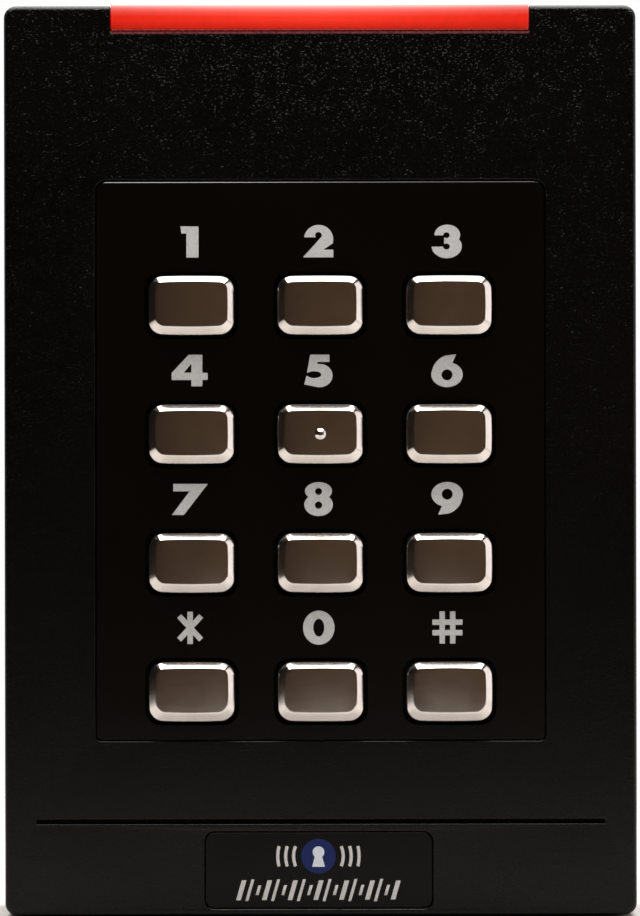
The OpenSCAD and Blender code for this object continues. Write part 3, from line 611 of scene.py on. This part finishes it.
def make_key(key_id):
    """The sculpted keycap that stands in for a key's plain CAD solid."""
    node = "key_" + key_id
    low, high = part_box(node)
    centre = (low + high) / 2
    half_w = (high.x - low.x) / 2 - KEY_MARGIN
    half_h = (high.z - low.z) / 2 - KEY_MARGIN
    data = bmesh.new()
    rows = key_rows(half_w, half_h, KEY_FRONT, high.y, high.y - FLANGE_T)
    rows += crowned_face(half_w - FACE_INSET, half_h - FACE_INSET, KEY_FRONT)
    loft(data, rows, centre=(0, KEY_FRONT, FACE_RISE))
    if key_id == HOME_KEY:
        home_dot(data, KEY_FRONT)
    data.transform(Matrix.Translation((centre.x, 0, centre.z)))
    key = finish_mesh("keycap_" + key_id, data, "key_metal", node, 60)
    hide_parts(node)


for key_id in KEY_IDS:
    make_key(key_id)


# ---- Contact mat: a sheet, and under each key a plunger on a thin skirt ----

MAT_T = 1.0 * MM
SHEET_FRONT = MAT_HIGH.y - MAT_T
MAT_CORNER = 2 * MM
WINDOW = (5.0 * MM, 4.4 * MM, 0.4 * MM)      # the lamp's window: width, height, corner radius
SKIRT_LOW_R = 4.6 * MM                       # the skirt's outer radius at the sheet and at the plunger
SKIRT_HIGH_R = 2.95 * MM
SKIRT_SKIN = 0.35 * MM                       # its thickness
SKIRT_ROOT = 0.2 * MM                        # how far it reaches into the sheet
PLUNGER = (8.8 * MM, 6.2 * MM, 1.2 * MM)     # its plate under the key: width, height, corner radius
PLUNGER_EDGE = 0.15 * MM
PLUNGER_CLEARANCE = 0.05 * MM                # left between the plate and the sheet when a key is right in
STEM_R = 2.8 * MM                            # the round stem behind the plate, which passes through the sheet


def key_centre(key_id):
    low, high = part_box("key_" + key_id)
    return (low + high) / 2


def travel_of(joint_name):
    return next(j for j in frame["joints"] if j["name"] == joint_name)["range_m"][1]


def make_sheet(centres):
    """The mat's flat sheet, with a hole under each key and a window above it for the legend's lamp."""
    middle_x = (min(c.x for c in centres) + max(c.x for c in centres)) / 2
    middle_z = (min(c.z for c in centres) + max(c.z for c in centres)) / 2
    lamp_x = (LAMPS_LOW.x + LAMPS_HIGH.x) / 2 - middle_x
    lamp_z = (LAMPS_LOW.z + LAMPS_HIGH.z) / 2 - middle_z
    mat_x, mat_z = (MAT_LOW.x + MAT_HIGH.x) / 2, (MAT_LOW.z + MAT_HIGH.z) / 2
    half_w, half_h = (MAT_HIGH.x - MAT_LOW.x) / 2, (MAT_HIGH.z - MAT_LOW.z) / 2
    sheet = rounded_outline(half_w, half_h, MAT_CORNER, MAT_CORNER, per_corner=8, per_side=1)
    outlines = [[(x + mat_x, z + mat_z) for x, z in sheet]]
    width, height, corner = WINDOW
    window = rounded_outline(width / 2, height / 2, corner, corner, per_corner=4, per_side=1)
    for c in centres:
        outlines.append(circle(c.x, c.z, SKIRT_LOW_R - SKIRT_SKIN))
        outlines.append([(x + c.x + lamp_x, z + c.z + lamp_z) for x, z in window])
    made = finish_mesh("contact_mat", outline_plate(outlines, SHEET_FRONT, MAT_HIGH.y), "silicone", "reader")
    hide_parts("keymat")
    soften(made, 0.12 * MM)


def make_skirt(key_id, c, plunger_back):
    """A cone of thin skin from the sheet's hole to the plunger's stem."""
    shoulder = 0.35 * MM
    rings = []
    for radius, y in (
        (SKIRT_LOW_R, SHEET_FRONT + SKIRT_ROOT),
        (SKIRT_LOW_R, SHEET_FRONT),
        (SKIRT_LOW_R - shoulder, SHEET_FRONT - 0.12 * MM),
        (SKIRT_HIGH_R, plunger_back),
        (SKIRT_HIGH_R - SKIRT_SKIN, plunger_back),
        (SKIRT_LOW_R - SKIRT_SKIN - shoulder, SHEET_FRONT - 0.05 * MM),
        (SKIRT_LOW_R - SKIRT_SKIN, SHEET_FRONT + 0.05 * MM),
        (SKIRT_LOW_R - SKIRT_SKIN, SHEET_FRONT + SKIRT_ROOT),
    ):
        rings.append([(x, y, z) for x, z in circle(c.x, c.z, radius, 48)])
    data = bmesh.new()
    tube(data, rings)
    skirt = finish_mesh("mat_skirt_" + key_id, data, "silicone", "reader", 50)
    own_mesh(skirt)


def make_plunger(key_id, c, plunger_back):
    """What the key presses on: a plate as wide as the key, and behind it a stem that holds the pill."""
    width, height, corner = PLUNGER

    def plate(inset):
        half_w, half_h, radius = width / 2 - inset, height / 2 - inset, corner - inset
        return rounded_outline(half_w, half_h, radius, radius, per_corner=6, per_side=8)

    edge = PLUNGER_EDGE
    step = SHEET_FRONT - travel_of("key_" + key_id + "_press") - PLUNGER_CLEARANCE
    rows = []
    for radius, y in ((STEM_R - edge, plunger_back), (STEM_R, plunger_back - edge), (STEM_R, step)):
        shares = [(x, z, radius / math.hypot(x, z)) for x, z in plate(0.0)]
        rows.append(at([(x * share, z * share) for x, z, share in shares], y, c.x, c.z))
    for inset, y in ((edge, step), (0.0, step - edge), (0.0, MAT_LOW.y + edge), (edge, MAT_LOW.y)):
        rows.append(at(plate(inset), y, c.x, c.z))
    data = bmesh.new()
    loft(data, rows)
    finish_mesh("mat_plunger_" + key_id, data, "silicone", "key_" + key_id, 50)


def make_mat():
    centres = [key_centre(key_id) for key_id in KEY_IDS]
    make_sheet(centres)
    for key_id, c in zip(KEY_IDS, centres):
        plunger_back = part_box("pill_" + key_id)[0].y
        make_skirt(key_id, c, plunger_back)
        make_plunger(key_id, c, plunger_back)


make_mat()


# ---- Badge emblem: a keyhole disc between radio waves, over a strip of slanted bars ----

EMBLEM_X = -0.35 * MM
DISC_Z = BADGE_HIGH.z - 3.15 * MM
DISC_R = 2.3 * MM
KEYHOLE_Z = DISC_Z + 0.55 * MM       # the middle of the keyhole's round head
KEYHOLE_R = 0.78 * MM
KEYHOLE_FOOT = (0.85 * MM, 1.4 * MM)     # half its width, and its distance below the disc's middle
WAVE_RADII = (3.3 * MM, 4.35 * MM, 5.4 * MM)
WAVE_W = 0.42 * MM
WAVE_REACH = 78 * MM                 # each wave spans this over its radius, in degrees to either side
STRIP_Z = BADGE_LOW.z + 2.35 * MM
BAR_COUNT = 19
BAR_PITCH = 1.14 * MM
BAR_LEAN = math.tan(math.radians(16))
INK_FRONT = BADGE_LOW.y - 0.03 * MM  # printed ink stands a little proud of the badge
INK_BACK = BADGE_LOW.y + 0.02 * MM   # and is sunk a little into it


def arc_outline(cx, cz, radius, width, side, spread):
    """A wave at that side, +1 right or -1 left, as one closed loop."""
    steps = 14
    angles = [math.radians(spread * (2 * k / steps - 1)) for k in range(steps + 1)]
    outer_r, inner_r = radius + width / 2, radius - width / 2
    outer = [(outer_r * math.cos(a), outer_r * math.sin(a)) for a in angles]
    inner = [(inner_r * math.cos(a), inner_r * math.sin(a)) for a in reversed(angles)]
    return [(cx + side * x, cz + z) for x, z in outer + inner]


def keyhole_outline():
    angles = [math.radians(a) for a in range(-50, 231, 10)]
    head = [(EMBLEM_X + KEYHOLE_R * math.cos(a), KEYHOLE_Z + KEYHOLE_R * math.sin(a)) for a in angles]
    half_w, drop = KEYHOLE_FOOT
    return head + [(EMBLEM_X - half_w, DISC_Z - drop), (EMBLEM_X + half_w, DISC_Z - drop)]


def bar_outline(k):
    """The slanted bar number k. Their heights rise and fall without a pattern, and each third one is wide."""
    x = EMBLEM_X + (k - (BAR_COUNT - 1) / 2) * BAR_PITCH
    half_h = (0.62 + 0.95 * abs(math.cos(2.1 * k + 0.6)) ** 1.5) * MM
    half_w = (0.2 if k % 3 else 0.31) * MM
    corners = [(-half_w, -half_h), (half_w, -half_h), (half_w, half_h), (-half_w, half_h)]
    return [(x + px + pz * BAR_LEAN, STRIP_Z + pz) for px, pz in corners]


def print_on_badge(name, outlines, paint, edge, front=INK_FRONT, back=INK_BACK):
    data = outline_plate(outlines, front, back)
    soften(finish_mesh(name, data, "badge", "reader", paint=paint), edge)


def make_emblem():
    grey = printed_ink("badge_ink", (0.50, 0.49, 0.475), (0.66, 0.645, 0.625))
    blue = printed_ink("badge_blue", (0.0010, 0.0085, 0.075), (0.0018, 0.0115, 0.105))
    pale = printed_ink("badge_pale", (0.58, 0.62, 0.68), (0.72, 0.76, 0.82))
    print_on_badge("badge_disc", [circle(EMBLEM_X, DISC_Z, DISC_R, 64)], blue, 0.015 * MM)
    above_disc = 0.02 * MM
    print_on_badge(
        "badge_keyhole", [keyhole_outline()], pale, 0.01 * MM,
        INK_FRONT - above_disc, BADGE_LOW.y - above_disc,
    )
    waves = []
    for side in (-1, 1):
        for radius in WAVE_RADII:
            waves.append(arc_outline(EMBLEM_X, DISC_Z, radius, WAVE_W, side, WAVE_REACH / radius))
    print_on_badge("badge_waves", waves, grey, 0.012 * MM)
    print_on_badge("badge_bars", [bar_outline(k) for k in range(BAR_COUNT)], grey, 0.012 * MM)


make_emblem()


# ---- Edges of the CAD mouldings catch the light on a fine radius ----

# Edge radius of each carried-over node, in millimetres; the rest have the default
EDGE_RADII = {
    "front_housing": 0.14, "keypad_bezel": 0.035, "badge_plate": 0.1, "light_bar_lens": 0.15,
    "light_bar_guide": 0.15, "rear_housing": 0.2, "mounting_plate": 0.25, "housing_gasket": 0.15,
    "antenna_bobbin": 0.15, "sounder_case": 0.15, "capacitors": 0.15, "inductor": 0.2,
    "key_legends": 0.03, "contact_pads": 0.02, "terminal_clamps": 0.08, "board_socket": 0.04,
    "rf_shield": 0.08, "sounder_disc": 0.04, "controller_chip": 0.03,
}
DEFAULT_EDGE = 0.06
# Nodes whose bevel isn't clamped, and those whose flats are cut first
FULL_ROUND = (
    "front_housing", "keypad_bezel", "key_legends", "light_bar_lens", "badge_plate", "rear_housing",
    "mounting_plate",
)
CUT_FLATS = ("front_housing",)


for part in frame["record"]["subparts"]:
    name = part["node"]
    if name == "key_legends" or not name.startswith(("key_", "pill_")):
        radius = EDGE_RADII.get(name, DEFAULT_EDGE) * MM
        soften(frame["nodes"][name], radius, name not in FULL_ROUND, name in CUT_FLATS)


# ---- Stage, light and camera ----

def make_floor():
    """A pale sheet that fades into the studio round it."""
    fade_from, fade_to = 0.1, 0.34      # distances from the object, longer to each side than in depth
    data = bmesh.new()
    bmesh.ops.create_grid(data, x_segments=1, y_segments=1, size=1.3)
    mesh = bpy.data.meshes.new("floor")
    data.to_mesh(mesh)
    data.free()
    floor = bpy.data.objects.new("floor", mesh)
    floor.location = (0, 0, BODY_LOW.z - 0.05 * MM)
    bpy.context.scene.collection.objects.link(floor)
    paint = Paint("floor_paper", Roughness=0.9, Specular_IOR_Level=0.2)
    cloud = paint.noise(0.2, 3)
    paint.link(paint.between(cloud, (0.45, 0.43, 0.408), (0.485, 0.465, 0.443)), "Base Color")
    reach = paint.length(paint.stretched((0.55, 1, 1)))
    fade = paint.node("ShaderNodeMapRange", {
        "Value": reach, "From Min": fade_from, "From Max": fade_to, "To Min": 1.0, "To Max": 0.0,
    }, interpolation_type="SMOOTHSTEP").outputs["Result"]
    paint.link(fade, "Alpha")
    mesh.materials.append(paint.material)


# What the studio lends the object, from its dark end in front to its pale wall behind
STUDIO = [
    (0.0, (0.085, 0.052, 0.032)), (0.2, (0.05, 0.036, 0.026)), (0.5, (0.02, 0.019, 0.018)),
    (0.72, (0.12, 0.118, 0.115)), (0.9, (0.5, 0.5, 0.5)),
]
# Its left side lends only this share
STUDIO_LEFT = 0.45


def make_world():
    """White to the eye, and a dim studio to the object."""
    world = bpy.data.worlds.new("studio")
    world.use_nodes = True
    bpy.context.scene.world = world
    tree = world.node_tree
    background = tree.nodes["Background"]
    coords = tree.nodes.new("ShaderNodeTexCoord")
    split = tree.nodes.new("ShaderNodeSeparateXYZ")
    ramp = tree.nodes.new("ShaderNodeValToRGB")
    shift = tree.nodes.new("ShaderNodeMapRange")
    shift.inputs["From Min"].default_value = -1
    tree.links.new(coords.outputs["Generated"], split.inputs["Vector"])
    tree.links.new(split.outputs["Y"], shift.inputs["Value"])
    tree.links.new(shift.outputs["Result"], ramp.inputs["Fac"])
    set_stops(ramp.color_ramp, STUDIO)
    side = tree.nodes.new("ShaderNodeMapRange")
    side.inputs["From Min"].default_value = -0.16
    side.inputs["From Max"].default_value = 0.02
    side.inputs["To Min"].default_value = STUDIO_LEFT
    tree.links.new(split.outputs["X"], side.inputs["Value"])
    # A Mix node's own sockets go by number: 0 is the share, 6 and 7 the two colours, and output 2 the result
    dimmed = tree.nodes.new("ShaderNodeMix")
    dimmed.data_type, dimmed.blend_type = "RGBA", "MULTIPLY"
    dimmed.inputs[0].default_value = 1.0
    tree.links.new(ramp.outputs["Color"], dimmed.inputs[6])
    tree.links.new(side.outputs["Result"], dimmed.inputs[7])
    seen = tree.nodes.new("ShaderNodeMix")
    seen.data_type = "RGBA"
    tree.links.new(tree.nodes.new("ShaderNodeLightPath").outputs["Is Camera Ray"], seen.inputs[0])
    tree.links.new(dimmed.outputs[2], seen.inputs[6])
    seen.inputs[7].default_value = (1, 1, 1, 1)
    tree.links.new(seen.outputs[2], background.inputs["Color"])


def softbox(name, place, aim, size, brightness, colour=(1, 1, 1)):
    """A rectangular light whose face has that radiance."""
    light = bpy.data.lights.new(name, "AREA")
    light.shape = "RECTANGLE"
    light.size, light.size_y = size
    light.energy = brightness * math.pi * size[0] * size[1]
    light.color = colour
    made = bpy.data.objects.new(name, light)
    made.location = place
    made.rotation_mode = "QUATERNION"
    made.rotation_quaternion = (Vector(aim) - Vector(place)).to_track_quat("-Z", "Y")
    made.visible_camera = False
    bpy.context.scene.collection.objects.link(made)


def make_camera():
    """Straight on, level with the middle of the object, far enough off to flatten it."""
    distance = 0.8
    view_height = 121.71 * MM
    roll = 0.1      # degrees
    data = bpy.data.cameras.new("camera")
    data.sensor_width = 36
    data.lens = data.sensor_width * distance / view_height
    data.clip_start, data.clip_end = 0.01, 20
    camera = bpy.data.objects.new("camera", data)
    camera.location = (-0.05 * MM, FRONT - distance, 0.32 * MM)
    camera.rotation_euler = (math.radians(90), math.radians(roll), 0)
    bpy.context.scene.collection.objects.link(camera)
    bpy.context.scene.camera = camera


make_camera()
make_floor()
make_world()
# Each light's place, the point it faces, its size and its radiance, in metres and W/m2/sr
softbox("softbox_top", (0.02, -0.06, 0.36), (0.02, -0.06, 0), (0.46, 0.4), 9, (1, 0.985, 0.97))
softbox("softbox_right", (0.42, 0.06, 0.16), (0, 0.06, 0.16), (0.52, 0.5), 1.4, (1, 0.95, 0.95))
softbox("softbox_left", (-0.45, 0.09, 0.03), (0, 0, 0), (0.16, 0.3), 1.0)
softbox("card_low", (0.03, -1.2, -0.115), (0.03, 0, -0.115), (0.11, 0.07), 0.085, (0.95, 1, 0.93))
softbox("softbox_back", (0, 0.4, 0.5), (0, 0.4, 0), (0.9, 0.8), 2.6)
bpy.context.scene.view_settings.view_transform = "Standard"
